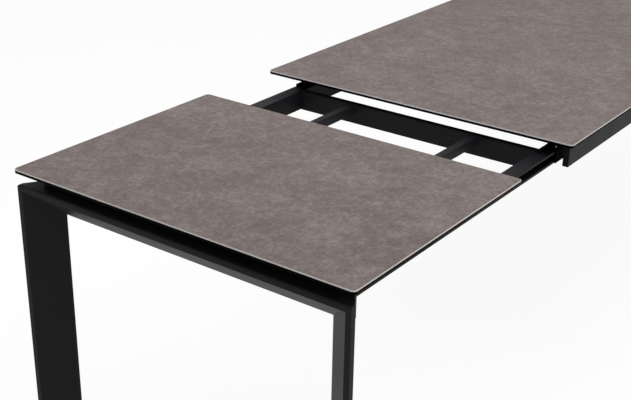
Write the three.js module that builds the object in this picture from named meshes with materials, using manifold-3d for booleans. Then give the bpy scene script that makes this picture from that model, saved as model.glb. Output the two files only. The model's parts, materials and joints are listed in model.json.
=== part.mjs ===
// Extendable dining table, drawn out to its stop: a main top on its frame, and a carriage that
// carries the extension leaf on its own end portal. Millimetres, +Z up. X runs along the table, with
// the leaf at -X; the origin is on the floor, under the middle of the drawn-out table.
import * as THREE from "three";
import { mergeVertices } from "three/addons/utils/BufferGeometryUtils.js";
import Module from "manifold-3d";

const wasm = await Module();
wasm.setup();

// ---- driving dimensions: the whole table ----
const tableHeight = 750;
const topWidth = 900;
const mainTopLength = 1900;
const leafLength = 640;
const openGap = 252; // between the leaf and the main top, when the carriage is fully out

// ---- driving dimensions: the panels ----
const ceramicThickness = 3;
const glassThickness = 5.7;
const panelCornerRadius = 10;
const ceramicEdgeBevel = 0.8;

// ---- driving dimensions: the end portals, folded from sheet and welded ----
const portalWall = 2.5;
const portalSideInset = 7; // from the panel's long edge to the portal's outer face
const portalEndInset = 2; // from the panel's short edge to the portal's face
const noseWidth = 13; // flat nose round the portal's outer edge
const crossbarNose = 13;
const legSlopeIn = 67; // the leg's slanted face runs this far inwards
const slopeBack = 59; // and this far back
const crossbarSlopeDown = 56;
const backLip = 6; // depth of the edge behind the slanted faces
const backCutIn = 34; // the leg's outer back face runs this far inwards

// ---- driving dimensions: supports between the portals and the panels ----
const supportHeight = 26;
const supportDepth = 25;
const supportEndInset = 50;
const supportFrontInset = 40;
const leafRearSupportInset = 70; // from the leaf's inner edge
const leafRearSupportDepth = 30;
const padThickness = 2;
const padLength = 60;
const padWidth = 16;
const padSideInset = 60;

// ---- driving dimensions: the side aprons and the frame's cross-members ----
const apronThickness = 15;
const apronHeight = 48;
const apronWall = 2;
const apronCapThickness = 2.5;
const rearApronSetback = 125; // the rear apron stops this far short of the main top's inner edge
const crossMemberWidth = 40;
const crossMemberHeight = 29;
const crossMemberWall = 2;
const crossMemberCount = 3;
const firstCrossMember = 155; // from the main top's inner edge to the first one's middle
const lastCrossMember = 320; // from the main top's far edge to the last one's middle

// ---- driving dimensions: the telescoping rails ----
const railDrop = 43; // from the table's surface to the top of the moving rails
const railInset = 62; // from the panel's long edge to the moving rail's mouth
const railWidth = 38;
const railChannelHeight = 32;
const railWebHeight = 52;
const railWall = 3;
const railLip = 4;
const railLipThickness = 2.5;
const railLength = 1275;
const railTongue = 42; // the moving rail's web runs this far past its flanges, for the tail roller
const fixedRailWidth = 35;
const fixedRailSidePlay = 0.6; // between the fixed rail's web and the moving rail's mouth
const fixedRailPlay = 1.4; // between the two rails' flanges
const fixedRailSetback = 47; // from the main top's inner edge to the fixed rail's end
const fixedRailEndGap = 60; // from the fixed rail's far end to the far portal's back
const mouthRelief = 65; // the fixed rail's lower flange starts this far behind its near end

// ---- driving dimensions: the carriage's cross-tubes ----
const crossbeamDepth = 20;
const crossbeamSetback = 16; // the crossbeam's front face is this far behind the main top's edge
const barWidth = 20;
const barHeight = 25;
const barSpacing = 366; // middle to middle
const tubeWall = 2;
const bracketThickness = 4;
const bracketWidth = 82;
const bracketHeight = 58;
const bracketDrop = 6; // from the portal's top to the bracket's
const bracketEdge = 1.5; // from the flat back's end to the bracket's
const bracketBoltEdge = 16;
const bracketBoltSpacing = 34;

// ---- driving dimensions: rollers, bolts and feet ----
const frameRollerRadius = 12;
const tailRollerRadius = 17;
const rollerWidth = 16;
const axleRadius = 4;
const axleClearance = 0.1;
const axleCollarRadius = 7;
const frameRollerSetback = 140; // from the main top's inner edge
const boltHeadRadius = 6.5;
const boltHeadHeight = 4;
const boltRadius = 4;
const boltShank = 14;
const axleEndThickness = 1.5;
const legGap = 12; // from the floor to the leg's metal
const capThickness = 3.5;
const capPlugHeight = 16;
const capFit = 0.4;
const footRadius = 13;
const footBackInset = 17; // from the portal's back to the foot's middle
const footSideInset = 43; // from the leg's outer side to the foot's middle
const footHeight = 7.6;
const stemRadius = 4;
const stemLength = 38;
const stemClearance = 0.3;
const pinRadius = 4;
const pinLength = 9;
const pinDiscRadius = 12;
const pinDiscThickness = 1.6;
const pinClearance = 0.5;
const pinSpacing = 500;

const gap = 0.3; // between pieces that touch
const roundSides = 28;

// ---- what follows from them ----
const panelThickness = ceramicThickness + gap + glassThickness;
const tableLength = leafLength + openGap + mainTopLength;
const nearEnd = -tableLength / 2;
const farEnd = tableLength / 2;
const leafEnd = nearEnd + leafLength;
const mainStart = leafEnd + openGap;
const panelBottom = tableHeight - panelThickness;
const portalTop = panelBottom - gap - supportHeight - gap;
const portalHalfWidth = topWidth / 2 - portalSideInset;
const portalDepth = slopeBack + backLip;
const nearPortalBack = nearEnd + portalEndInset + portalDepth;
const farPortalBack = farEnd - portalEndInset - portalDepth;
const railTop = tableHeight - railDrop;
const railMouth = topWidth / 2 - railInset; // distance from the middle plane
const railBack = railMouth - railWidth;
const railBottom = railTop - railChannelHeight;
const railMiddle = railMouth - railWidth / 2;
const fixedRailOuter = railMouth + fixedRailSidePlay + railWall;
const crossMemberTop = panelBottom - gap;
const crossMemberBottom = crossMemberTop - crossMemberHeight;
const fixedRailTop = crossMemberBottom - gap;
const fixedRailBottom = railBottom - fixedRailPlay - railWall;
const crossbeamFront = mainStart + crossbeamSetback;
const fixedRailStart = mainStart + fixedRailSetback;
const fixedRailEnd = farPortalBack - fixedRailEndGap;
const railStart = nearPortalBack + gap + bracketThickness + gap;
const railEnd = railStart + railLength;
const frameRollerPlace = [
  mainStart + frameRollerSetback,
  railBottom + railWall + gap + frameRollerRadius,
];
const tailRollerPlace = [
  railEnd - railTongue / 2,
  fixedRailBottom + railWall + gap + tailRollerRadius,
];
const leafSupportTop = panelBottom - gap - padThickness - gap;
const pinX = nearEnd + supportFrontInset + supportDepth / 2;
const bracketTop = portalTop - bracketDrop;
const bracketOuter = portalHalfWidth - backCutIn - bracketEdge;
const bracketBoltY = bracketWidth - bracketOuter - bracketBoltEdge;
const bracketBoltHeights = {
  upper: bracketTop - bracketHeight / 2 + bracketBoltSpacing / 2,
  lower: bracketTop - bracketHeight / 2 - bracketBoltSpacing / 2,
};

// ---- finishes ----
const finish = (color, roughness, metalness) =>
  new THREE.MeshStandardMaterial({ color, roughness, metalness });
const ceramic = finish(0x867c78, 0.7, 0);
const blackGlass = finish(0x0c0c0d, 0.15, 0);
const powderCoat = finish(0x2b2a2c, 0.55, 0.2);
const satinRail = finish(0x323235, 0.45, 0.4);
const zincSteel = finish(0x9a9a9c, 0.4, 0.9);
const nylon = finish(0x1a1a1b, 0.6, 0);
const rubber = finish(0x202021, 0.9, 0);

const table = new THREE.Group();

// ---- shapes ----

// A closed three.js geometry as a manifold solid.
function solid(geometry) {
  const bare = geometry.clone();
  bare.deleteAttribute("normal");
  bare.deleteAttribute("uv");
  const merged = mergeVertices(bare, 1e-4);
  return new wasm.Manifold(
    new wasm.Mesh({
      numProp: 3,
      vertProperties: merged.getAttribute("position").array,
      triVerts: new Uint32Array(merged.index.array),
    }),
  );
}

function geometryOf(shape) {
  const mesh = shape.getMesh();
  return new THREE.BufferGeometry()
    .setAttribute("position", new THREE.BufferAttribute(mesh.vertProperties, 3))
    .setIndex(new THREE.BufferAttribute(mesh.triVerts, 1))
    .toNonIndexed();
}

function add(name, shape, material) {
  const geometry = shape.isBufferGeometry ? shape : geometryOf(shape);
  geometry.computeVertexNormals();
  const mesh = new THREE.Mesh(geometry, material);
  mesh.name = name;
  table.add(mesh);
}

// A box between two corners.
function box(low, high) {
  const size = high.map((v, i) => v - low[i]);
  return solid(
    new THREE.BoxGeometry(...size).translate(
      ...low.map((v, i) => v + size[i] / 2),
    ),
  );
}

// A plan outline of [x, y] points, from one height to another.
function upright(points, low, high) {
  const outline = new THREE.Shape(points.map(([x, y]) => new THREE.Vector2(x, y)));
  const shape = new THREE.ExtrudeGeometry(outline, {
    depth: high - low,
    bevelEnabled: false,
  });
  return solid(shape.translate(0, 0, low));
}

// A section of [x, z] points, from one y to another.
function across(points, low, high) {
  const outline = new THREE.Shape(points.map(([x, z]) => new THREE.Vector2(x, z)));
  const shape = new THREE.ExtrudeGeometry(outline, {
    depth: high - low,
    bevelEnabled: false,
  });
  return solid(shape.rotateX(Math.PI / 2).translate(0, high, 0));
}

// A section of [y, z] points, from one x to another.
function along(points, low, high) {
  const outline = new THREE.Shape(points.map(([y, z]) => new THREE.Vector2(y, z)));
  const shape = new THREE.ExtrudeGeometry(outline, {
    depth: high - low,
    bevelEnabled: false,
  });
  return solid(
    shape.rotateX(Math.PI / 2).rotateZ(Math.PI / 2).translate(low, 0, 0),
  );
}

// A turned piece: a profile of [radius, height] points, about the Z axis.
function turned(profile) {
  return new THREE.LatheGeometry(
    profile.map(([r, h]) => new THREE.Vector2(r, h)),
    roundSides,
  ).rotateX(Math.PI / 2);
}

function cylinder(radius, low, high) {
  return turned([
    [0, low],
    [radius, low],
    [radius, high],
    [0, high],
  ]);
}

// A convex outline moved inwards by a distance; the points run anticlockwise.
function inset(points, distance) {
  const count = points.length;
  const edges = points.map(([x, y], i) => {
    const [nextX, nextY] = points[(i + 1) % count];
    const length = Math.hypot(nextX - x, nextY - y);
    const along = [(nextX - x) / length, (nextY - y) / length];
    return { x: x - along[1] * distance, y: y + along[0] * distance, along };
  });
  return edges.map((edge, i) => {
    const before = edges[(i + count - 1) % count];
    const cross =
      before.along[0] * edge.along[1] - before.along[1] * edge.along[0];
    const t =
      ((edge.x - before.x) * edge.along[1] - (edge.y - before.y) * edge.along[0]) /
      cross;
    return [before.x + before.along[0] * t, before.y + before.along[1] * t];
  });
}

const mirroredY = (points) => points.map(([x, y]) => [x, -y]).reverse();
const sideName = (side) => (side < 0 ? "front" : "rear");

// ---- panels ----

function panelOutline(length, width, radius) {
  const x = length / 2;
  const y = width / 2;
  const outline = new THREE.Shape();
  outline.moveTo(-x + radius, -y);
  outline.lineTo(x - radius, -y);
  outline.absarc(x - radius, -y + radius, radius, -Math.PI / 2, 0);
  outline.lineTo(x, y - radius);
  outline.absarc(x - radius, y - radius, radius, 0, Math.PI / 2);
  outline.lineTo(-x + radius, y);
  outline.absarc(-x + radius, y - radius, radius, Math.PI / 2, Math.PI);
  outline.lineTo(-x, -y + radius);
  outline.absarc(-x + radius, -y + radius, radius, Math.PI, 1.5 * Math.PI);
  return outline;
}

function panelSheet(length, thickness, bevel) {
  const inner = panelOutline(
    length - 2 * bevel,
    topWidth - 2 * bevel,
    panelCornerRadius - bevel,
  );
  return new THREE.ExtrudeGeometry(inner, {
    depth: thickness - 2 * bevel,
    bevelEnabled: bevel > 0,
    bevelThickness: bevel,
    bevelSize: bevel,
    bevelSegments: 1,
    curveSegments: 6,
  }).translate(0, 0, bevel);
}

// A ceramic sheet bonded to a black glass backing.
function panel(name, start, length) {
  const middle = start + length / 2;
  const ceramicSheet = panelSheet(length, ceramicThickness, ceramicEdgeBevel);
  const glassSheet = panelSheet(length, glassThickness, ceramicEdgeBevel);
  add(
    name + "_ceramic",
    solid(ceramicSheet.translate(middle, 0, tableHeight - ceramicThickness)),
    ceramic,
  );
  add(
    name + "_glass",
    solid(glassSheet.translate(middle, 0, panelBottom)),
    blackGlass,
  );
}

// ---- end portals ----

// The leg's plan, with the portal's outer corner at the origin, x backwards and y inwards.
const legPlan = [
  [0, 0],
  [noseWidth, 0],
  [portalDepth, backCutIn],
  [portalDepth, noseWidth + legSlopeIn],
  [slopeBack, noseWidth + legSlopeIn],
  [0, noseWidth],
];

// The crossbar's section, with x backwards and y downwards from its top.
const crossbarSection = [
  [0, 0],
  [portalDepth, 0],
  [portalDepth, crossbarNose + crossbarSlopeDown],
  [slopeBack, crossbarNose + crossbarSlopeDown],
  [0, crossbarNose],
];

// The crossbar's plan, whose ends follow the legs' outer back faces.
const crossbarPlan = [
  [0, -portalHalfWidth],
  [noseWidth, -portalHalfWidth],
  [portalDepth, backCutIn - portalHalfWidth],
  [portalDepth, portalHalfWidth - backCutIn],
  [noseWidth, portalHalfWidth],
  [0, portalHalfWidth],
];

const placeLeg = (points) => points.map(([x, y]) => [x, y - portalHalfWidth]);

// The portal's outer or inner surface, as a solid whose faces lie a wall's distance inside.
function portalBody(wall, bottom) {
  const leg = placeLeg(wall ? inset(legPlan, wall) : legPlan);
  const section = wall ? inset(crossbarSection, wall) : crossbarSection;
  const plan = wall ? inset(crossbarPlan, wall) : crossbarPlan;
  const down = section.map(([x, z]) => [x, portalTop - z]).reverse();
  const crossbar = across(down, -portalHalfWidth, portalHalfWidth).intersect(
    upright(plan, 0, tableHeight),
  );
  return upright(leg, bottom, portalTop - wall)
    .add(upright(mirroredY(leg), bottom, portalTop - wall))
    .add(crossbar);
}

// One welded portal, facing -X, with its hollow legs open at the bottom.
function portalShell() {
  return portalBody(0, legGap).subtract(
    portalBody(portalWall, legGap - portalWall),
  );
}

const footPlan = [portalDepth - footBackInset, footSideInset];

// The plastic plug in the leg's open end, with a threaded bore for the foot.
function legCap() {
  const plate = upright(
    inset(legPlan, capFit),
    legGap - gap - capThickness,
    legGap - gap,
  );
  const plug = upright(
    inset(legPlan, portalWall + capFit),
    legGap - gap - capThickness / 2,
    legGap + capPlugHeight,
  );
  const bore = cylinder(stemRadius + stemClearance, 0, tableHeight);
  return plate.add(plug).subtract(solid(bore.translate(...footPlan, 0)));
}

function levellingFoot() {
  return turned([
    [0, 0],
    [footRadius - 1, 0],
    [footRadius, 1],
    [footRadius, footHeight - 2],
    [footRadius - 2, footHeight],
    [stemRadius, footHeight],
    [stemRadius, footHeight + stemLength],
    [0, footHeight + stemLength],
  ]).translate(...footPlan, 0);
}

// Puts a solid made for the near portal's front leg in its place: end is -1 at the leaf, +1 at the
// far end, and side is -1 for the front long side, +1 for the rear.
function atLeg(shape, end, side) {
  const outer = end < 0 ? nearEnd + portalEndInset : farEnd - portalEndInset;
  const placed = shape.translate([0, -portalHalfWidth, 0]);
  const turnedSide = side < 0 ? placed : placed.mirror([0, 1, 0]);
  const turnedEnd = end < 0 ? turnedSide : turnedSide.mirror([1, 0, 0]);
  return turnedEnd.translate([outer, 0, 0]);
}

// boltHeights are the heights of the bracket bolts' holes in its back.
function portal(end, boltHeights) {
  const name = end < 0 ? "near" : "far";
  const outer = end < 0 ? nearEnd + portalEndInset : farEnd - portalEndInset;
  const faced = end < 0 ? portalShell() : portalShell().mirror([1, 0, 0]);
  const drilled = boltHeights.reduce(
    (shape, z) =>
      shape
        .subtract(bracketBoltHole(bracketBoltY, z))
        .subtract(bracketBoltHole(-bracketBoltY, z)),
    faced.translate([outer, 0, 0]),
  );
  add(name + "_portal", drilled, powderCoat);
  for (const side of [-1, 1]) {
    const corner = name + "_" + sideName(side);
    add(corner + "_leg_cap", atLeg(legCap(), end, side), nylon);
    add(corner + "_foot", atLeg(solid(levellingFoot()), end, side), nylon);
  }
}

// ---- tubes and rails ----

// A square-cut rectangular tube along Y, open at both ends.
function tubeAcross(low, high, wall) {
  const [x0, y0, z0] = low;
  const [x1, y1, z1] = high;
  return box(low, high).subtract(
    box([x0 + wall, y0 - 1, z0 + wall], [x1 - wall, y1 + 1, z1 - wall]),
  );
}

// The same along X.
function tubeAlong(low, high, wall) {
  const [x0, y0, z0] = low;
  const [x1, y1, z1] = high;
  return box(low, high).subtract(
    box([x0 - 1, y0 + wall, z0 + wall], [x1 + 1, y1 - wall, z1 - wall]),
  );
}

// The fixed rail's section on the front side, as [y, z] points: it opens inwards, round the moving
// rail.
function fixedRailSection() {
  const outer = -fixedRailOuter;
  const inner = outer + fixedRailWidth;
  return [
    [outer, fixedRailBottom],
    [inner, fixedRailBottom],
    [inner, fixedRailBottom + railWall],
    [outer + railWall, fixedRailBottom + railWall],
    [outer + railWall, fixedRailTop - railWall],
    [inner, fixedRailTop - railWall],
    [inner, fixedRailTop],
    [outer, fixedRailTop],
  ];
}

// The moving rail's: it opens outwards, with a lip on each flange, and its web reaches below them.
function movingRailSection() {
  const mouth = -railMouth;
  const lip = mouth + railLipThickness;
  const web = -railBack - railWall;
  return [
    [mouth, railBottom],
    [web, railBottom],
    [web, railTop - railWebHeight],
    [-railBack, railTop - railWebHeight],
    [-railBack, railTop],
    [mouth, railTop],
    [mouth, railTop - railWall - railLip],
    [lip, railTop - railWall - railLip],
    [lip, railTop - railWall],
    [web, railTop - railWall],
    [web, railBottom + railWall],
    [lip, railBottom + railWall],
    [lip, railBottom + railWall + railLip],
    [mouth, railBottom + railWall + railLip],
  ];
}

const bySide = (shape, side) => (side < 0 ? shape : shape.mirror([0, 1, 0]));

// A hole along Y through the front side's rail web, for an axle at an [x, z] place.
function webHole([x, z], y) {
  const reach = railWall + 2;
  return solid(
    cylinder(boltRadius + stemClearance, -reach, reach)
      .rotateX(Math.PI / 2)
      .translate(x, y, z),
  );
}

function fixedRail(side) {
  const relief = box(
    [fixedRailStart - 1, -fixedRailOuter - 1, fixedRailBottom - 1],
    [fixedRailStart + mouthRelief, -railBack, railBottom],
  );
  const rail = along(fixedRailSection(), fixedRailStart, fixedRailEnd)
    .subtract(relief)
    .subtract(webHole(frameRollerPlace, -fixedRailOuter));
  add(sideName(side) + "_fixed_rail", bySide(rail, side), satinRail);
}

function movingRail(side) {
  const web = box(
    [railStart, -railBack - railWall, railTop - railWebHeight],
    [railEnd, -railBack, railTop],
  );
  const rail = along(movingRailSection(), railStart, railEnd - railTongue)
    .add(web)
    .subtract(webHole(tailRollerPlace, -railBack));
  add(sideName(side) + "_slide_rail", bySide(rail, side), satinRail);
}

// ---- rollers ----

function roller(radius) {
  const bore = axleRadius + axleClearance;
  const half = rollerWidth / 2;
  return turned([
    [bore, -half],
    [radius - 1, -half],
    [radius, 1 - half],
    [radius, half - 1],
    [radius - 1, half],
    [bore, half],
    [bore, -half],
  ]).rotateX(Math.PI / 2);
}

// The bolt that a roller turns on: its head is against one face of a rail's web, and the collar
// against the other. Heights run from the head's face, towards the roller.
function axle(reach) {
  const underHead = boltHeadHeight;
  const collarStart = underHead + gap + railWall + gap;
  const rollerStart = underHead + gap + reach;
  const rollerEnd = rollerStart + rollerWidth + 2 * gap;
  return turned([
    [0, 0],
    [boltHeadRadius, 0],
    [boltHeadRadius, underHead],
    [boltRadius, underHead],
    [boltRadius, collarStart],
    [axleCollarRadius, collarStart],
    [axleCollarRadius, rollerStart - gap],
    [axleRadius, rollerStart - gap],
    [axleRadius, rollerEnd - gap],
    [boltHeadRadius, rollerEnd - gap],
    [boltHeadRadius, rollerEnd - gap + axleEndThickness],
    [0, rollerEnd - gap + axleEndThickness],
  ]);
}

// A roller and its axle: web is the y of the front side's web face under the bolt's head, and
// towards is the direction along Y from the head to the roller.
function rollerSet(name, side, radius, [x, z], web, towards) {
  const reach = Math.abs(web + railMiddle) - rollerWidth / 2;
  const bolt = axle(reach)
    .rotateX((-towards * Math.PI) / 2)
    .translate(x, web - towards * (gap + boltHeadHeight), z);
  const wheel = roller(radius).translate(x, -railMiddle, z);
  add(sideName(side) + name + "_axle", bySide(solid(bolt), side), zincSteel);
  add(sideName(side) + name, bySide(solid(wheel), side), nylon);
}

// ---- the frame under the main top ----

// The far portal's outer back face, as the distance from its end face at a distance inwards.
const farMitre = (inwards) =>
  portalEndInset +
  noseWidth +
  (inwards * (portalDepth - noseWidth)) / backCutIn +
  (gap * Math.hypot(portalDepth - noseWidth, backCutIn)) / backCutIn;

function apron(side) {
  const outer = -portalHalfWidth;
  const inner = outer + apronThickness;
  const setback = side < 0 ? portalEndInset : rearApronSetback;
  const start = mainStart + setback + apronCapThickness + gap;
  const plan = [
    [start, outer],
    [farEnd - farMitre(0), outer],
    [farEnd - farMitre(apronThickness), inner],
    [start, inner],
  ];
  const tube = upright(plan, crossMemberTop - apronHeight, crossMemberTop).subtract(
    box(
      [start - 1, outer + apronWall, crossMemberTop - apronHeight + apronWall],
      [farEnd, inner - apronWall, crossMemberTop - apronWall],
    ),
  );
  add(sideName(side) + "_apron", bySide(tube, side), powderCoat);

  const inTube = apronWall + capFit;
  const cap = box(
    [start - gap - apronCapThickness, outer, crossMemberTop - apronHeight],
    [start - gap, inner, crossMemberTop],
  ).add(
    box(
      [start - gap - 1, outer + inTube, crossMemberTop - apronHeight + inTube],
      [start + capPlugHeight, inner - inTube, crossMemberTop - inTube],
    ),
  );
  add(sideName(side) + "_apron_cap", bySide(cap, side), nylon);
}

function crossMembers() {
  const first = mainStart + firstCrossMember;
  const last = farEnd - lastCrossMember;
  const end = portalHalfWidth - apronThickness - gap;
  for (let i = 0; i < crossMemberCount; i++) {
    const x = first + ((last - first) * i) / (crossMemberCount - 1);
    const tube = tubeAcross(
      [x - crossMemberWidth / 2, -end, crossMemberBottom],
      [x + crossMemberWidth / 2, end, crossMemberTop],
      crossMemberWall,
    );
    add("frame_cross_member_" + (i + 1), tube, powderCoat);
  }
}

// ---- supports between the portals and the panels ----

// The recessed bar on a portal's crossbar.
function portalSupport(end, top) {
  const outer = end < 0 ? nearEnd + supportFrontInset : farEnd - supportFrontInset;
  const inner = outer - end * supportDepth;
  const reach = topWidth / 2 - supportEndInset;
  return tubeAcross(
    [Math.min(outer, inner), -reach, portalTop + gap],
    [Math.max(outer, inner), reach, top],
    tubeWall,
  );
}

// A hole down through the leaf's outer support, for a pin.
function pinHole(y) {
  const radius = pinRadius + pinClearance;
  return solid(cylinder(radius, portalTop, panelBottom).translate(pinX, y, 0));
}

function leafSupports() {
  const outerBar = portalSupport(-1, leafSupportTop)
    .subtract(pinHole(-pinSpacing / 2))
    .subtract(pinHole(pinSpacing / 2));
  add("leaf_outer_support", outerBar, powderCoat);

  const innerEdge = leafEnd - leafRearSupportInset;
  const innerBar = tubeAcross(
    [innerEdge - leafRearSupportDepth, -railMouth, railTop + gap],
    [innerEdge, railMouth, leafSupportTop],
    tubeWall,
  );
  add("leaf_inner_support", innerBar, powderCoat);

  const padOffset = topWidth / 2 - supportEndInset - padSideInset;
  for (const side of [-1, 1]) {
    for (const [place, x] of [
      ["outer", pinX],
      ["inner", innerEdge - leafRearSupportDepth / 2],
    ]) {
      const y = side * padOffset;
      const pad = box(
        [x - padWidth / 2, y - padLength / 2, leafSupportTop + gap],
        [x + padWidth / 2, y + padLength / 2, leafSupportTop + gap + padThickness],
      );
      add("leaf_pad_" + place + "_" + sideName(side), pad, rubber);
    }
  }
}

// A pin on a disc that is bonded to the leaf's underside.
function leafPins() {
  const discBottom = panelBottom - gap - pinDiscThickness;
  for (const side of [-1, 1]) {
    const pin = turned([
      [0, discBottom - pinLength],
      [pinRadius - 1, discBottom - pinLength],
      [pinRadius, discBottom - pinLength + 1],
      [pinRadius, discBottom],
      [pinDiscRadius, discBottom],
      [pinDiscRadius, panelBottom - gap],
      [0, panelBottom - gap],
    ]);
    const placed = pin.translate(pinX, (side * pinSpacing) / 2, 0);
    add("leaf_pin_" + sideName(side), placed, zincSteel);
  }
}

// ---- the carriage's cross-tubes and brackets ----

function crossbeam() {
  const end = railBack - gap;
  const beam = tubeAcross(
    [crossbeamFront, -end, railTop - railWebHeight],
    [crossbeamFront + crossbeamDepth, end, railTop],
    tubeWall,
  );
  add("carriage_crossbeam", beam, powderCoat);
}

function innerBars() {
  for (const side of [-1, 1]) {
    const y = (side * barSpacing) / 2;
    const bar = tubeAlong(
      [nearPortalBack + gap, y - barWidth / 2, railTop - barHeight],
      [crossbeamFront - gap, y + barWidth / 2, railTop],
      tubeWall,
    );
    add(sideName(side) + "_inner_bar", bar, powderCoat);
  }
}

const bracketBoltHole = (y, z) =>
  solid(
    cylinder(boltRadius + stemClearance, -boltShank, boltShank)
      .rotateY(Math.PI / 2)
      .translate(nearPortalBack, y, z),
  );

// The plates that hold the slide rails to the portal's back, with their bolts.
function railBrackets() {
  for (const side of [-1, 1]) {
    const plate = box(
      [nearPortalBack + gap, -bracketOuter, bracketTop - bracketHeight],
      [nearPortalBack + gap + bracketThickness, bracketWidth - bracketOuter, bracketTop],
    );
    const drilled = Object.values(bracketBoltHeights).reduce(
      (shape, z) => shape.subtract(bracketBoltHole(bracketBoltY, z)),
      plate,
    );
    add(sideName(side) + "_rail_bracket", bySide(drilled, side), powderCoat);
    for (const [level, z] of Object.entries(bracketBoltHeights)) {
      const bolt = turned([
        [0, -boltShank],
        [boltRadius, -boltShank],
        [boltRadius, 0],
        [boltHeadRadius, 0],
        [boltHeadRadius, boltHeadHeight],
        [0, boltHeadHeight],
      ])
        .rotateY(Math.PI / 2)
        .translate(nearPortalBack + 2 * gap + bracketThickness, bracketBoltY, z);
      add(
        sideName(side) + "_bracket_bolt_" + level,
        bySide(solid(bolt), side),
        zincSteel,
      );
    }
  }
}

// ---- the table ----

panel("main_top", mainStart, mainTopLength);
panel("leaf", nearEnd, leafLength);
portal(-1, Object.values(bracketBoltHeights));
portal(1, []);
add("main_top_support", portalSupport(1, panelBottom - gap), powderCoat);
leafSupports();
leafPins();
crossMembers();
crossbeam();
innerBars();
railBrackets();
for (const side of [-1, 1]) {
  apron(side);
  fixedRail(side);
  movingRail(side);
  rollerSet("_frame_roller", side, frameRollerRadius, frameRollerPlace, -fixedRailOuter, 1);
  rollerSet("_tail_roller", side, tailRollerRadius, tailRollerPlace, -railBack, -1);
}

export default table;
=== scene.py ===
"""Extendable dining table: finishes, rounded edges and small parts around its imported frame."""

import json
import math

import bmesh
import bpy
from bpy.props import FloatProperty, FloatVectorProperty, PointerProperty
from mathutils import Matrix, Vector
from mathutils.bvhtree import BVHTree


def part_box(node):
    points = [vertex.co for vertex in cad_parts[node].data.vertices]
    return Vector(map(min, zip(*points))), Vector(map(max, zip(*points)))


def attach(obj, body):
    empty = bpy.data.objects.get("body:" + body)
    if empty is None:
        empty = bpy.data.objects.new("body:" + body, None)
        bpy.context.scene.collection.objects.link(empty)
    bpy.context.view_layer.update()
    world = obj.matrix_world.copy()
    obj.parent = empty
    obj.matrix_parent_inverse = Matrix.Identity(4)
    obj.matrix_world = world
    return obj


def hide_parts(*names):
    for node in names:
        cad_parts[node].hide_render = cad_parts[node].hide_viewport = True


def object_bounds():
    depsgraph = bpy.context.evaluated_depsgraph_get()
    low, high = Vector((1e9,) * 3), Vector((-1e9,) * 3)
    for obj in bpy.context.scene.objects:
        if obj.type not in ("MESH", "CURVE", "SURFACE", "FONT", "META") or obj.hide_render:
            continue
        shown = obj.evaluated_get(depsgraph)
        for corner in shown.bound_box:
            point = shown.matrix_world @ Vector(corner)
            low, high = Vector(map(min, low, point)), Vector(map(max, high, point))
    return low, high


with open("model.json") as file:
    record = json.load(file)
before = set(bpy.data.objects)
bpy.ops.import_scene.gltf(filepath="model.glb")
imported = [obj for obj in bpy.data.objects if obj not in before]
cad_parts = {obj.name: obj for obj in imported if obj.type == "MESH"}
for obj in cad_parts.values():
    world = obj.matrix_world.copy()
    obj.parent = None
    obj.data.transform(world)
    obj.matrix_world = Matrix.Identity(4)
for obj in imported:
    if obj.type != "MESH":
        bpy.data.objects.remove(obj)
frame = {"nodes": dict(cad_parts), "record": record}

bl_info = {
    "name": "Extendable dining table",
    "version": (1, 0, 0),
    "blender": (4, 5, 0),
    "location": "3D View > Sidebar > Dining table",
    "description": "Builds the finishes and small parts of an extendable dining table",
    "category": "Object",
}

CAD_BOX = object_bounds()
SIDES = ("front", "rear")
ENDS = ("near", "far")
MM = 0.001
TUBE_EDGE = 40 * MM  # a tube's edges under this length stay as they are
PLATE_EDGE = 4 * MM  # and a plate's under this one
RAIL_EDGE = 30 * MM
CAP_EDGE = 8 * MM

RECORD = frame["record"]
BODY_OF = {node: body for body, nodes in RECORD["behaviour"]["bodies"].items() for node in nodes}
SLOT_OF = {part["node"]: part["material_slot"] for part in RECORD["subparts"]}


# ---- properties ----


def linear(code):
    """The linear colour of an sRGB hex value."""
    parts = [int(code[i : i + 2], 16) / 255 for i in (0, 2, 4)]
    return tuple(c / 12.92 if c <= 0.04045 else ((c + 0.055) / 1.055) ** 2.4 for c in parts)


def colour(name, description, code):
    return FloatVectorProperty(
        name=name, description=description, subtype="COLOR", min=0, max=1, default=linear(code)
    )


def length(name, description, metres):
    return FloatProperty(
        name=name, description=description, unit="LENGTH", precision=4, default=metres
    )


class TableColours(bpy.types.PropertyGroup):
    """Colours of the table's finishes."""

    porcelain_dark: colour("Porcelain, dark", "Darkest clouds of the printed sheets", "6B5E5B")
    porcelain_middle: colour("Porcelain, middle", "Main colour of the printed sheets", "817571")
    porcelain_light: colour("Porcelain, light", "Palest clouds of the printed sheets", "9A918E")
    porcelain_edge: colour("Porcelain edge", "Ground edge of the printed sheets", "EAE5DF")
    glass: colour("Glass", "Enamelled backing glass", "030304")
    powder_coat: colour("Powder coat", "Portals, tubes and aprons", "232124")
    worn_coat: colour("Worn coat", "Powder coat where hands rub it", "373538")
    rail: colour("Rail", "Coated sliding rails", "18171A")
    # Darker than the sliding rails' colour: phosphated black, plus painted shade for the shadow
    # under the main top.
    dull_rail: colour("Dull rail", "Phosphated fixed rails", "0C0C0D")
    zinc: colour("Zinc", "Bolts, pins and axles", "B4B6B8")
    nylon: colour("Nylon", "Rollers, feet and plugs", "0E0E0F")
    rubber: colour("Rubber", "Pads under the leaf", "1B1B1C")
    floor: colour("Floor", "Studio floor", "F2F2F1")


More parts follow.
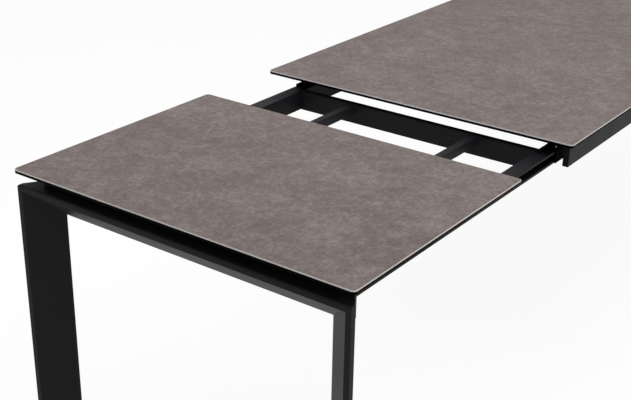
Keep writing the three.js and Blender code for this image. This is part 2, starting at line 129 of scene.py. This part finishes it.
class TableEdges(bpy.types.PropertyGroup):
    """Radii and small sizes."""

    sheet_bend: length("Sheet bend", "Radius of the portals' folds", 2.2 * MM)
    portal_shoulder: length("Portal shoulder", "Radius of the portals' ground top corners", 5 * MM)
    tube_corner: length("Tube corner", "Corner radius of the tubes", 1.8 * MM)
    rail_bend: length("Rail bend", "Radius of the rails' folds", 1.2 * MM)
    plate_edge: length("Plate edge", "Broken edge of plates", 0.6 * MM)
    moulded_edge: length("Moulded edge", "Edge radius of moulded parts", 0.5 * MM)
    turned_edge: length("Turned edge", "Edge radius of turned parts", 0.4 * MM)
    panel_corner: length("Panel corner", "Corner radius of the panels", 10 * MM)
    panel_arris: length("Panel arris", "Ground bevel round the panels", 0.8 * MM)
    weld_size: length("Weld size", "Radius of a weld bead", 1.6 * MM)


class TableStage(bpy.types.PropertyGroup):
    """Camera and studio."""

    camera_ahead: length("Camera ahead", "From the leaf's end to the camera", 1.492)
    camera_aside: length("Camera aside", "From the front edge to the camera", 0.992)
    camera_above: length("Camera above", "From the surface to the camera", 0.98)
    lens: FloatProperty(name="Lens", description="Focal length in millimetres", default=66.23)
    heading: FloatProperty(
        name="Heading",
        description="Camera's turn from the table's length",
        subtype="ANGLE",
        default=math.radians(35.91),
    )
    tilt: FloatProperty(
        name="Tilt",
        description="Camera's tilt below the horizon",
        subtype="ANGLE",
        default=math.radians(24.2),
    )
    roll: FloatProperty(
        name="Roll", description="Camera's roll", subtype="ANGLE", default=math.radians(0.98)
    )


# ---- node materials ----


def add_node(tree, kind, inputs=None, **settings):
    """Adds a node, with its settings, and sets or links its inputs."""
    node = tree.nodes.new(kind)
    for key, value in settings.items():
        setattr(node, key, value)
    for key, value in (inputs or {}).items():
        if isinstance(value, bpy.types.NodeSocket):
            tree.links.new(value, node.inputs[key])
        else:
            node.inputs[key].default_value = value
    return node


def new_material(name, base, roughness, metallic=0.0, ior=1.5):
    """A material with a principled surface: returns it, its tree and its surface node."""
    material = bpy.data.materials.new(name)
    material.use_nodes = True
    tree = material.node_tree
    tree.nodes.clear()
    inputs = {"Base Color": (*base, 1), "Roughness": roughness, "Metallic": metallic, "IOR": ior}
    surface = add_node(tree, "ShaderNodeBsdfPrincipled", inputs)
    add_node(tree, "ShaderNodeOutputMaterial", {"Surface": surface.outputs["BSDF"]})
    return material, tree, surface


def per_metre(millimetres):
    """A noise scale whose features are about this big."""
    return 1000 / millimetres


def shade(base, share=1.0):
    """A share of a colour, with alpha."""
    return (*[share * c for c in base], 1)


def noise(tree, place, millimetres, detail=2, **more):
    """Noise whose features are about this big."""
    inputs = {"Vector": place, "Scale": per_metre(millimetres), "Detail": detail}
    inputs.update({key.capitalize(): value for key, value in more.items()})
    return add_node(tree, "ShaderNodeTexNoise", inputs).outputs["Fac"]


def colour_between(tree, surface, factor, dark, light):
    """Sets the base colour to a mix of two colours."""
    inputs = {"Factor": factor, "A": dark, "B": light}
    tone = add_node(tree, "ShaderNodeMix", inputs, data_type="RGBA")
    tree.links.new(tone.outputs["Result"], surface.inputs["Base Color"])


def roughness_between(tree, surface, value, low, high):
    """Lets the roughness follow a pattern between two values."""
    inputs = {"Value": value, "To Min": low, "To Max": high}
    gloss = add_node(tree, "ShaderNodeMapRange", inputs)
    tree.links.new(gloss.outputs["Result"], surface.inputs["Roughness"])


def relief(tree, surface, height, strength, depth):
    """Gives the surface a fine relief."""
    inputs = {"Height": height, "Strength": strength, "Distance": depth}
    bump = add_node(tree, "ShaderNodeBump", inputs)
    tree.links.new(bump.outputs["Normal"], surface.inputs["Normal"])


def edge_mask(tree, radius):
    """1 on outer edges and 0 on flat faces."""
    rounded = add_node(tree, "ShaderNodeBevel", {"Radius": radius}, samples=6)
    plain = add_node(tree, "ShaderNodeNewGeometry")
    turned = add_node(
        tree,
        "ShaderNodeVectorMath",
        {0: rounded.outputs["Normal"], 1: plain.outputs["Normal"]},
        operation="DOT_PRODUCT",
    )
    mask = add_node(
        tree,
        "ShaderNodeMapRange",
        {"Value": turned.outputs["Value"], "From Min": 0.995, "From Max": 0.88},
    )
    return mask.outputs["Result"]


def seen_directly(tree):
    """1 for what the camera sees, straight on, mirrored or through glass, and 0 for soft light."""
    rays = add_node(tree, "ShaderNodeLightPath").outputs
    either = add_node(
        tree,
        "ShaderNodeMath",
        {0: rays["Is Camera Ray"], 1: rays["Is Glossy Ray"]},
        operation="MAXIMUM",
    )
    any_of_them = add_node(
        tree,
        "ShaderNodeMath",
        {0: either.outputs["Value"], 1: rays["Is Transmission Ray"]},
        operation="MAXIMUM",
    )
    return any_of_them.outputs["Value"]


def printed_porcelain(colours):
    """Porcelain stoneware, printed with a cement look and fired matt: soft clouds, fine speckle."""
    name = "printed_porcelain"
    material, tree, surface = new_material(name, colours.porcelain_middle, 0.6, ior=1.55)
    surface.inputs["Specular IOR Level"].default_value = 0.14
    place = add_node(tree, "ShaderNodeTexCoord").outputs["Object"]
    # The print's clouds are a little longer across the table than along it.
    drawn = add_node(tree, "ShaderNodeMapping", {"Vector": place, "Scale": (1, 0.9, 1)})
    across = drawn.outputs["Vector"]
    clouds = noise(tree, across, 150, 4, roughness=0.55, distortion=0.35)
    patches = noise(tree, across, 32, 6, roughness=0.68, distortion=0.4)
    speckle = noise(tree, place, 9, 3, roughness=0.6)
    mottle = add_node(
        tree, "ShaderNodeMix", {"Factor": 0.68, "A": clouds, "B": patches}, data_type="FLOAT"
    )
    print_tone = add_node(
        tree,
        "ShaderNodeMix",
        {"Factor": 0.37, "A": mottle.outputs["Result"], "B": speckle},
        data_type="FLOAT",
    )
    tone = add_node(tree, "ShaderNodeValToRGB", {"Fac": print_tone.outputs["Result"]})
    ramp = tone.color_ramp
    ramp.elements[0].position = 0.36
    ramp.elements[0].color = shade(colours.porcelain_dark)
    ramp.elements[1].position = 0.64
    ramp.elements[1].color = shade(colours.porcelain_light)
    ramp.elements.new(0.5).color = shade(colours.porcelain_middle)
    tree.links.new(tone.outputs["Color"], surface.inputs["Base Color"])
    roughness_between(tree, surface, patches, 0.55, 0.7)
    # The fired skin's grain is about 0.5 mm; it is drawn coarser so that it shows.
    relief(tree, surface, speckle, 0.12, 0.2 * MM)
    return material


def ground_porcelain(colours):
    """The sheet's edge, ground with a wheel: paler than the print, with fine chatter along it."""
    name = "ground_porcelain"
    material, tree, surface = new_material(name, colours.porcelain_edge, 0.38, ior=1.55)
    place = add_node(tree, "ShaderNodeTexCoord").outputs["Object"]
    chatter = noise(tree, place, 9, 3)
    edge = colours.porcelain_edge
    colour_between(tree, surface, chatter, shade(edge, 0.82), shade(edge))
    return material


def enamelled_glass(colours):
    """Toughened glass, enamelled black behind: deep black, polished, with a faint ripple."""
    material, tree, surface = new_material("enamelled_glass", colours.glass, 0.2, ior=1.52)
    surface.inputs["Specular IOR Level"].default_value = 0.015
    place = add_node(tree, "ShaderNodeTexCoord").outputs["Object"]
    wave = noise(tree, place, 60)
    relief(tree, surface, wave, 0.05, 0.3 * MM)
    roughness_between(tree, surface, wave, 0.14, 0.28)
    return material


def powder_coated_steel(colours):
    """Steel, powder coated and baked: satin, fine orange peel, rubbed a little along its edges."""
    material, tree, surface = new_material("powder_coated_steel", colours.powder_coat, 0.5)
    surface.inputs["Specular IOR Level"].default_value = 0.085
    place = add_node(tree, "ShaderNodeTexCoord").outputs["Object"]
    cloud = noise(tree, place, 120, 4)
    rubbed = add_node(
        tree, "ShaderNodeMath", {0: edge_mask(tree, 1.6 * MM), 1: cloud}, operation="MULTIPLY"
    )
    coat, worn = shade(colours.powder_coat), shade(colours.worn_coat)
    colour_between(tree, surface, rubbed.outputs["Value"], coat, worn)
    roughness_between(tree, surface, cloud, 0.44, 0.56)
    # Orange peel is about 0.4 mm from crest to crest; it is drawn coarser so that it shows.
    relief(tree, surface, noise(tree, place, 1.4), 0.25, 0.08 * MM)
    return material


def roll_formed_steel(colours):
    """Steel strip, rolled to a channel and coated thinly: satin, with long roll marks."""
    material, tree, surface = new_material("roll_formed_steel", colours.rail, 0.42)
    surface.inputs["Specular IOR Level"].default_value = 0.04
    place = add_node(tree, "ShaderNodeTexCoord").outputs["Object"]
    # Roll marks run along the rail, long in X, about 2 mm apart; they are drawn at 6 mm to show.
    stretched = add_node(tree, "ShaderNodeMapping", {"Vector": place, "Scale": (0.02, 1, 1)})
    marks = noise(tree, stretched.outputs["Vector"], 6, 3)
    sharp = add_node(
        tree, "ShaderNodeMapRange", {"Value": marks, "From Min": 0.3, "From Max": 0.7}
    )
    streaks = add_node(
        tree,
        "ShaderNodeMix",
        {
            "Factor": sharp.outputs["Result"],
            "A": shade(colours.rail, 0.5),
            "B": shade(colours.rail, 2.4),
        },
        data_type="RGBA",
    )
    worn = shade(colours.worn_coat)
    colour_between(tree, surface, edge_mask(tree, 1.2 * MM), streaks.outputs["Result"], worn)
    roughness_between(tree, surface, marks, 0.34, 0.5)
    relief(tree, surface, marks, 0.15, 0.05 * MM)
    return material


def phosphated_steel_painted_shade(colours):
    """Steel strip, rolled to a channel and phosphated: dull black, with a fine crystal mottle; its
    colour is darker than the sliding rails' as painted shade for the shadow under the main top.
    """
    base = colours.dull_rail
    material, tree, surface = new_material("phosphated_steel_painted_shade", base, 0.8)
    surface.inputs["Specular IOR Level"].default_value = 0.01
    place = add_node(tree, "ShaderNodeTexCoord").outputs["Object"]
    # The crystals are about 0.02 mm; they are drawn coarser so that they show.
    crystals = noise(tree, place, 2, 4)
    colour_between(tree, surface, crystals, shade(base, 0.6), shade(base, 1.4))
    return material


def zinc_plated_steel(colours):
    """Steel, turned and zinc plated: bright, with a fine spangle."""
    material, tree, surface = new_material("zinc_plated_steel", colours.zinc, 0.34, metallic=1.0)
    place = add_node(tree, "ShaderNodeTexCoord").outputs["Object"]
    spangle = noise(tree, place, 3, 3)
    colour_between(tree, surface, spangle, shade(colours.zinc, 0.7), shade(colours.zinc))
    roughness_between(tree, surface, spangle, 0.26, 0.44)
    return material


def moulded_nylon(colours):
    """Nylon, injection moulded: black, low sheen, with the mould's fine spark texture."""
    material, tree, surface = new_material("moulded_nylon", colours.nylon, 0.5, ior=1.53)
    surface.inputs["Specular IOR Level"].default_value = 0.08
    place = add_node(tree, "ShaderNodeTexCoord").outputs["Object"]
    spark = noise(tree, place, 0.9)
    roughness_between(tree, surface, spark, 0.4, 0.6)
    relief(tree, surface, spark, 0.2, 0.05 * MM)
    return material


def moulded_rubber(colours):
    """Rubber, pressed: matt black, with a light dusty bloom."""
    material, tree, surface = new_material("moulded_rubber", colours.rubber, 0.85, ior=1.52)
    place = add_node(tree, "ShaderNodeTexCoord").outputs["Object"]
    bloom = noise(tree, place, 12, 4)
    colour_between(tree, surface, bloom, shade(colours.rubber, 0.7), shade(colours.rubber, 1.5))
    return material


FINISHES = {
    "ceramic": printed_porcelain,
    "ceramic_edge": ground_porcelain,
    "black_glass": enamelled_glass,
    "powder_coat": powder_coated_steel,
    "rail_steel": roll_formed_steel,
    "fixed_rail_steel": phosphated_steel_painted_shade,
    "zinc_steel": zinc_plated_steel,
    "nylon": moulded_nylon,
    "pad_rubber": moulded_rubber,
}

# The fixed rails keep their slot but are duller than the sliding ones. They are also darker, as
# painted shade for the shadow they sit in under the main top.
OWN_FINISH = {side + "_fixed_rail": "fixed_rail_steel" for side in SIDES}


def finish_of(slot):
    """The material of a slot, made once."""
    maker = FINISHES[slot]
    return bpy.data.materials.get(maker.__name__) or maker(bpy.context.scene.table_colours)


# ---- meshes ----


def smooth_by_angle(bm, degrees=32):
    for face in bm.faces:
        face.smooth = True
    for edge in bm.edges:
        edge.smooth = edge.calc_face_angle(0) < math.radians(degrees)


def add_piece(name, bm, body, materials, replaces=()):
    """Makes an object of a mesh in the row frame, which rides on a body."""
    smooth_by_angle(bm)
    mesh = bpy.data.meshes.new(name)
    bm.to_mesh(mesh)
    bm.free()
    for material in materials:
        mesh.materials.append(material)
    piece = bpy.data.objects.new(name, mesh)
    bpy.context.scene.collection.objects.link(piece)
    normals = piece.modifiers.new("even_normals", "WEIGHTED_NORMAL")
    normals.keep_sharp = True
    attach(piece, body)
    if replaces:
        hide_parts(*replaces)
    return piece


def plain_copy(node):
    """A copy of a CAD node's mesh, with its flat faces whole."""
    bm = bmesh.new()
    bm.from_mesh(frame["nodes"][node].data)
    bmesh.ops.remove_doubles(bm, verts=bm.verts, dist=1e-6)
    bmesh.ops.dissolve_limit(bm, angle_limit=math.radians(1), verts=bm.verts, edges=bm.edges)
    return bm


def round_edges(bm, chosen, radius, segments=2):
    bmesh.ops.bevel(
        bm,
        geom=chosen,
        offset=radius,
        segments=segments,
        profile=0.5,
        affect="EDGES",
        clamp_overlap=True,
        miter_outer="ARC",
    )


def outer_edges(bm, shortest, sharp=40):
    """The convex edges that are over a length and sharper than an angle in degrees."""
    return [
        edge
        for edge in bm.edges
        if edge.is_manifold
        and edge.is_convex
        and edge.calc_length() > shortest
        and edge.calc_face_angle(0) > math.radians(sharp)
    ]


def finish_node(node, radius, shortest=0.0, segments=2):
    """Replaces a CAD node by a copy with rounded edges, in its slot's finish."""
    bm = plain_copy(node)
    round_edges(bm, outer_edges(bm, shortest), radius, segments)
    replace_node(node, bm)


def replace_node(node, bm):
    slot = SLOT_OF[node]
    finish = finish_of(OWN_FINISH.get(node, slot))
    add_piece("finished_" + node, bm, BODY_OF[node], [finish], [node])


def rounded_outline(low, high, radius, inset, steps=8):
    """Points of a rectangle with round corners, moved inwards by an inset."""
    points = []
    for quarter in range(4):
        x = high.x - radius if quarter in (0, 3) else low.x + radius
        y = high.y - radius if quarter in (0, 1) else low.y + radius
        for step in range(steps + 1):
            angle = (quarter + step / steps) * math.pi / 2
            reach = radius - inset
            points.append((x + reach * math.cos(angle), y + reach * math.sin(angle)))
    return points


def panel_sheet(node, corner, arris, materials):
    """A sheet with round corners and a ground bevel: its top takes the first material."""
    low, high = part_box(node)
    bm = bmesh.new()
    stations = [
        (arris, low.z),
        (0.3 * arris, low.z + 0.3 * arris),
        (0, low.z + arris),
        (0, high.z - arris),
        (0.3 * arris, high.z - 0.3 * arris),
        (arris, high.z),
    ]
    rings = [
        [bm.verts.new((x, y, z)) for x, y in rounded_outline(low, high, corner, inset)]
        for inset, z in stations
    ]
    for lower, upper in zip(rings, rings[1:]):
        for i in range(len(lower)):
            j = (i + 1) % len(lower)
            side = bm.faces.new((lower[i], lower[j], upper[j], upper[i]))
            side.material_index = len(materials) - 1
    bottom = bm.faces.new(rings[0][::-1])
    bottom.material_index = len(materials) - 1
    bm.faces.new(rings[-1])
    add_piece("finished_" + node, bm, BODY_OF[node], materials, [node])


def bead_along(bm, points, radius, pitch):
    """A rippled weld bead on a closed path."""
    samples = []
    for start, end in zip(points, points[1:] + points[:1]):
        run = end - start
        count = max(2, round(run.length / pitch * 3))
        samples += [start + run * i / count for i in range(count)]
    count = len(samples)
    sides = 8
    rings = []
    for i, point in enumerate(samples):
        ahead = (samples[(i + 1) % count] - samples[i - 1]).normalized()
        across = ahead.orthogonal().normalized() if abs(ahead.x) > 0.9 else Vector((1, 0, 0))
        up = ahead.cross(across).normalized()
        size = radius * (1 if i % 3 else 0.8)
        rings.append(
            [
                bm.verts.new(
                    point
                    + across * size * math.cos(2 * math.pi * k / sides)
                    + up * size * math.sin(2 * math.pi * k / sides)
                )
                for k in range(sides)
            ]
        )
    for i in range(count):
        one, two = rings[i], rings[(i + 1) % count]
        for k in range(sides):
            m = (k + 1) % sides
            bm.faces.new((one[k], one[m], two[m], two[k]))
    bmesh.ops.recalc_face_normals(bm, faces=bm.faces)


def revolve(bm, profile, sides, radius_at=None):
    """Turns a profile of (radius, height) about Z; radius_at(angle, radius, step) may change it."""
    rings = []
    for step, (radius, height) in enumerate(profile):
        ring = []
        for k in range(sides):
            angle = 2 * math.pi * k / sides
            reach = radius_at(angle, radius, step) if radius_at else radius
            ring.append(bm.verts.new((reach * math.cos(angle), reach * math.sin(angle), height)))
        rings.append(ring)
    for lower, upper in zip(rings, rings[1:]):
        for k in range(sides):
            m = (k + 1) % sides
            bm.faces.new((lower[k], lower[m], upper[m], upper[k]))
    bm.faces.new(rings[0][::-1])
    bm.faces.new(rings[-1])


# ---- operators ----


class DINING_OT_panels(bpy.types.Operator):
    """Builds the printed sheets and their glass backings"""

    bl_idname = "dining.panels"
    bl_label = "Panels"

    def execute(self, context):
        edges = context.scene.table_edges
        for name in ("main_top", "leaf"):
            porcelain = [finish_of("ceramic"), finish_of("ceramic_edge")]
            panel_sheet(name + "_ceramic", edges.panel_corner, edges.panel_arris, porcelain)
            glass = [finish_of("black_glass")]
            panel_sheet(name + "_glass", edges.panel_corner, edges.panel_arris, glass)
        return {"FINISHED"}


class DINING_OT_portals(bpy.types.Operator):
    """Builds the folded end portals"""

    bl_idname = "dining.portals"
    bl_label = "Portals"

    def execute(self, context):
        edges = context.scene.table_edges
        for end in ENDS:
            node = end + "_portal"
            bm = plain_copy(node)
            round_edges(bm, self.shoulders(bm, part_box(node)[1]), edges.portal_shoulder, 4)
            round_edges(bm, self.folds(bm), edges.sheet_bend, 3)
            replace_node(node, bm)
        return {"FINISHED"}

    def shoulders(self, bm, high):
        """The edges across the portal at its two top corners."""
        top = high.z - 0.1 * MM
        wide = 0.9 * high.y
        return [
            edge
            for edge in outer_edges(bm, CAP_EDGE)
            if all(v.co.z > top and abs(v.co.y) > wide for v in edge.verts)
        ]

    def folds(self, bm):
        """The edges outside the hollow portal, above its legs' open ends."""
        tree = BVHTree.FromBMesh(bm)
        open_ends = 20 * MM
        lift = 0.1 * MM
        chosen = []
        for edge in outer_edges(bm, 2 * MM, sharp=25):
            middle = (edge.verts[0].co + edge.verts[1].co) / 2
            outwards = (edge.link_faces[0].normal + edge.link_faces[1].normal).normalized()
            blocked = tree.ray_cast(middle + lift * outwards, outwards)[0] is not None
            if middle.z > open_ends and not blocked:
                chosen.append(edge)
        return chosen


class DINING_OT_feet(bpy.types.Operator):
    """Builds the plugs in the legs and the levelling feet"""

    bl_idname = "dining.feet"
    bl_label = "Feet"

    def execute(self, context):
        edge = context.scene.table_edges.moulded_edge
        for end in ENDS:
            for side in SIDES:
                corner = end + "_" + side
                finish_node(corner + "_leg_cap", edge, PLATE_EDGE)
                self.levelling_foot(corner + "_foot")
        return {"FINISHED"}

    def levelling_foot(self, node):
        """A glide with a gripped rim, on a screw."""
        low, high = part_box(node)
        radius = (high.x - low.x) / 2
        rim = 7.6 * MM
        stem = 4 * MM
        profile = [
            (radius - 1.2 * MM, 0),
            (radius - 0.4 * MM, 0.3 * MM),
            (radius, 1.2 * MM),
            (radius, 4.6 * MM),
            (radius - 0.7 * MM, 5.4 * MM),
            (radius - 4 * MM, 6.4 * MM),
            (radius - 5 * MM, rim),
            (stem, rim),
            (stem, high.z - 0.6 * MM),
            (stem - 0.6 * MM, high.z),
        ]
        grips = 20
        grip_depth = 0.35 * MM

        def gripped(angle, reach, step):
            groove = grip_depth * (1 + math.cos(grips * angle))
            return reach - groove if step in (2, 3) else reach

        bm = bmesh.new()
        revolve(bm, profile, 4 * grips, gripped)
        middle = (low + high) / 2
        bm.transform(Matrix.Translation((middle.x, middle.y, low.z)))
        slot = SLOT_OF[node]
        add_piece("finished_" + node, bm, BODY_OF[node], [finish_of(slot)], [node])


class DINING_OT_frame_tubes(bpy.types.Operator):
    """Builds the aprons, cross-members and support bars"""

    bl_idname = "dining.frame_tubes"
    bl_label = "Frame tubes"

    def execute(self, context):
        edges = context.scene.table_edges
        tubes = ["main_top_support", "leaf_outer_support", "leaf_inner_support"]
        tubes += [node for node in SLOT_OF if node.startswith("frame_cross_member")]
        tubes += [side + "_apron" for side in SIDES]
        for node in tubes:
            finish_node(node, edges.tube_corner, TUBE_EDGE)
        for side in SIDES:
            finish_node(side + "_apron_cap", edges.moulded_edge, CAP_EDGE)
        return {"FINISHED"}


class DINING_OT_carriage(bpy.types.Operator):
    """Builds the carriage's crossbeam, bars, brackets and welds"""

    bl_idname = "dining.carriage"
    bl_label = "Carriage"

    def execute(self, context):
        edges = context.scene.table_edges
        finish_node("carriage_crossbeam", edges.tube_corner, TUBE_EDGE)
        for side in SIDES:
            finish_node(side + "_inner_bar", edges.tube_corner, TUBE_EDGE)
            finish_node(side + "_rail_bracket", edges.plate_edge, PLATE_EDGE)
            self.bar_welds(side, edges.weld_size)
        return {"FINISHED"}

    def bar_welds(self, side, size):
        """The bead round a bar's end, on the crossbeam."""
        low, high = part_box(side + "_inner_bar")
        corners = [
            Vector((high.x, y, z))
            for y, z in ((low.y, low.z), (high.y, low.z), (high.y, high.z), (low.y, high.z))
        ]
        bm = bmesh.new()
        bead_along(bm, corners, size, pitch=3 * MM)
        slot = SLOT_OF["carriage_crossbeam"]
        add_piece(side + "_bar_weld", bm, "carriage", [finish_of(slot)])


class DINING_OT_rails(bpy.types.Operator):
    """Builds the fixed and sliding rails"""

    bl_idname = "dining.rails"
    bl_label = "Rails"

    def execute(self, context):
        for side in SIDES:
            for rail in ("_fixed_rail", "_slide_rail"):
                finish_node(side + rail, context.scene.table_edges.rail_bend, RAIL_EDGE)
        return {"FINISHED"}


class DINING_OT_rollers(bpy.types.Operator):
    """Builds the rollers and their axles"""

    bl_idname = "dining.rollers"
    bl_label = "Rollers"

    def execute(self, context):
        edges = context.scene.table_edges
        for side in SIDES:
            for place in ("_frame_roller", "_tail_roller"):
                finish_node(side + place, edges.moulded_edge)
                finish_node(side + place + "_axle", edges.turned_edge)
        return {"FINISHED"}


class DINING_OT_fasteners(bpy.types.Operator):
    """Builds the bracket bolts and the leaf's pins"""

    bl_idname = "dining.fasteners"
    bl_label = "Fasteners"

    def execute(self, context):
        for side in SIDES:
            for level in ("upper", "lower"):
                self.socket_bolt(side + "_bracket_bolt_" + level)
            finish_node("leaf_pin_" + side, context.scene.table_edges.turned_edge)
        self.stop_pin()
        return {"FINISHED"}

    def stop_pin(self):
        """The zinc pin that stands on the front fixed rail's mouth and ends the travel."""
        radius = 2.4 * MM
        height = 7 * MM
        inset = 6 * MM
        bevel = 0.8 * MM
        profile = [(radius, 0), (radius, height - bevel), (radius - bevel, height)]
        low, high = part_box("front_fixed_rail")
        bm = bmesh.new()
        revolve(bm, profile, 20)
        bm.transform(Matrix.Translation((low.x + inset, low.y + inset, high.z)))
        add_piece("rail_stop_pin", bm, "table_frame", [finish_of("zinc_steel")])

    def socket_bolt(self, node):
        """A button-head bolt along X, with a hexagon socket in its head."""
        low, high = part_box(node)
        radius = (high.z - low.z) / 2
        shank = 4 * MM
        head = 4 * MM
        tip = low.x - high.x
        flat = 2.5 * MM
        profile = [
            (shank - 0.7 * MM, tip),
            (shank, tip + 0.8 * MM),
            (shank, -head),
            (radius - 0.3 * MM, -head),
            (radius, 0.4 * MM - head),
            (0.93 * radius, 0.5 * -head),
            (0.78 * radius, 0.2 * -head),
            (0.6 * radius, 0),
            (flat, 0),
            (flat, -2.2 * MM),
        ]
        sixth = math.pi / 3

        def hexagonal(angle, reach, step):
            return reach / math.cos(angle % sixth - sixth / 2) if step >= 8 else reach

        bm = bmesh.new()
        revolve(bm, profile, 36, hexagonal)
        middle = (low + high) / 2
        turn = Matrix.Rotation(math.pi / 2, 4, "Y")
        bm.transform(Matrix.Translation((high.x, middle.y, middle.z)) @ turn)
        slot = SLOT_OF[node]
        add_piece("finished_" + node, bm, BODY_OF[node], [finish_of(slot)], [node])


class DINING_OT_pads(bpy.types.Operator):
    """Builds the rubber pads under the leaf"""

    bl_idname = "dining.pads"
    bl_label = "Pads"

    def execute(self, context):
        for place in ("outer", "inner"):
            for side in SIDES:
                node = "leaf_pad_" + place + "_" + side
                finish_node(node, context.scene.table_edges.moulded_edge)
        return {"FINISHED"}


class DINING_OT_stage(bpy.types.Operator):
    """Builds the floor, the light and the camera"""

    bl_idname = "dining.stage"
    bl_label = "Stage"

    def execute(self, context):
        self.floor(context.scene.table_colours.floor)
        self.light(context.scene)
        self.camera(context.scene)
        context.scene.view_settings.view_transform = "Standard"
        return {"FINISHED"}

    def floor(self, base):
        """A plain floor that the camera sees nearly white, with the table's soft shadow."""
        half = 20.0
        white_share = 0.84
        bm = bmesh.new()
        corners = ((-half, -half), (half, -half), (half, half), (-half, half))
        bm.faces.new([bm.verts.new((x, y, 0)) for x, y in corners])
        mesh = bpy.data.meshes.new("studio_floor")
        bm.to_mesh(mesh)
        bm.free()
        floor = bpy.data.objects.new("studio_floor", mesh)
        bpy.context.scene.collection.objects.link(floor)
        material, tree, surface = new_material("painted_floor", base, 0.8)
        seen = add_node(
            tree, "ShaderNodeMath", {0: seen_directly(tree), 1: white_share}, operation="MULTIPLY"
        )
        white = add_node(tree, "ShaderNodeEmission", {"Strength": 1.08})
        both = add_node(
            tree,
            "ShaderNodeMixShader",
            {0: seen.outputs["Value"], 1: surface.outputs["BSDF"], 2: white.outputs["Emission"]},
        )
        output = next(n for n in tree.nodes if n.type == "OUTPUT_MATERIAL")
        tree.links.new(both.outputs["Shader"], output.inputs["Surface"])
        mesh.materials.append(material)

    def light(self, scene):
        """An even studio: a pale world, a large box overhead and one at the front side."""
        world = bpy.data.worlds.new("studio")
        world.use_nodes = True
        tree = world.node_tree
        tree.nodes.clear()
        strength = add_node(
            tree, "ShaderNodeMapRange", {"Value": seen_directly(tree), "To Min": 0.3, "To Max": 1.0}
        )
        glow = add_node(
            tree,
            "ShaderNodeBackground",
            {"Color": (1, 1, 1, 1), "Strength": strength.outputs["Result"]},
        )
        add_node(tree, "ShaderNodeOutputWorld", {"Surface": glow.outputs["Background"]})
        scene.world = world
        low, high = CAD_BOX
        middle = (low + high) / 2
        overhead = Vector((-0.5, -0.2, 3.6))
        aside = Vector((-0.75, -3.4, 2.2))
        self.area("overhead_box", overhead, middle, size=(4.2, 3.0), power=58)
        self.area("side_box", aside, middle, size=(3.0, 2.0), power=20)

    def area(self, name, place, aim, size, power):
        """A rectangular lamp; its size is in metres and its power in watts."""
        lamp = bpy.data.lights.new(name, "AREA")
        lamp.shape = "RECTANGLE"
        lamp.size, lamp.size_y = size
        lamp.energy = power
        box = bpy.data.objects.new(name, lamp)
        box.location = place
        box.rotation_mode = "QUATERNION"
        box.rotation_quaternion = (aim - place).to_track_quat("-Z", "Y")
        bpy.context.scene.collection.objects.link(box)

    def camera(self, scene):
        """A camera beyond the leaf's front corner, above the surface."""
        stage = scene.table_stage
        low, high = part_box("leaf_ceramic")
        lens = bpy.data.cameras.new("studio_camera")
        lens.lens = stage.lens
        camera = bpy.data.objects.new("studio_camera", lens)
        camera.location = (
            low.x - stage.camera_ahead,
            low.y - stage.camera_aside,
            high.z + stage.camera_above,
        )
        facing = Vector(
            (
                math.cos(stage.tilt) * math.cos(stage.heading),
                math.cos(stage.tilt) * math.sin(stage.heading),
                -math.sin(stage.tilt),
            )
        )
        camera.rotation_mode = "QUATERNION"
        level = facing.to_track_quat("-Z", "Y")
        camera.rotation_quaternion = level @ Matrix.Rotation(stage.roll, 3, "Z").to_quaternion()
        scene.collection.objects.link(camera)
        scene.camera = camera


STEPS = (
    DINING_OT_stage,
    DINING_OT_panels,
    DINING_OT_portals,
    DINING_OT_feet,
    DINING_OT_frame_tubes,
    DINING_OT_carriage,
    DINING_OT_rails,
    DINING_OT_rollers,
    DINING_OT_fasteners,
    DINING_OT_pads,
)


class DINING_PT_build(bpy.types.Panel):
    """Lists the build steps"""

    bl_idname = "DINING_PT_build"
    bl_label = "Dining table"
    bl_space_type = "VIEW_3D"
    bl_region_type = "UI"
    bl_category = "Dining table"

    def draw(self, context):
        for step in STEPS:
            self.layout.operator(step.bl_idname)


GROUPS = {
    "table_colours": TableColours,
    "table_edges": TableEdges,
    "table_stage": TableStage,
}


def register():
    for kind in (*GROUPS.values(), *STEPS, DINING_PT_build):
        bpy.utils.register_class(kind)
    for name, group in GROUPS.items():
        setattr(bpy.types.Scene, name, PointerProperty(type=group))


def unregister():
    for name in GROUPS:
        delattr(bpy.types.Scene, name)
    for kind in (DINING_PT_build, *reversed(STEPS), *reversed(GROUPS.values())):
        bpy.utils.unregister_class(kind)


def main():
    register()
    for step in STEPS:
        group, name = step.bl_idname.split(".")
        getattr(getattr(bpy.ops, group), name)()


if __name__ == "__main__":
    main()
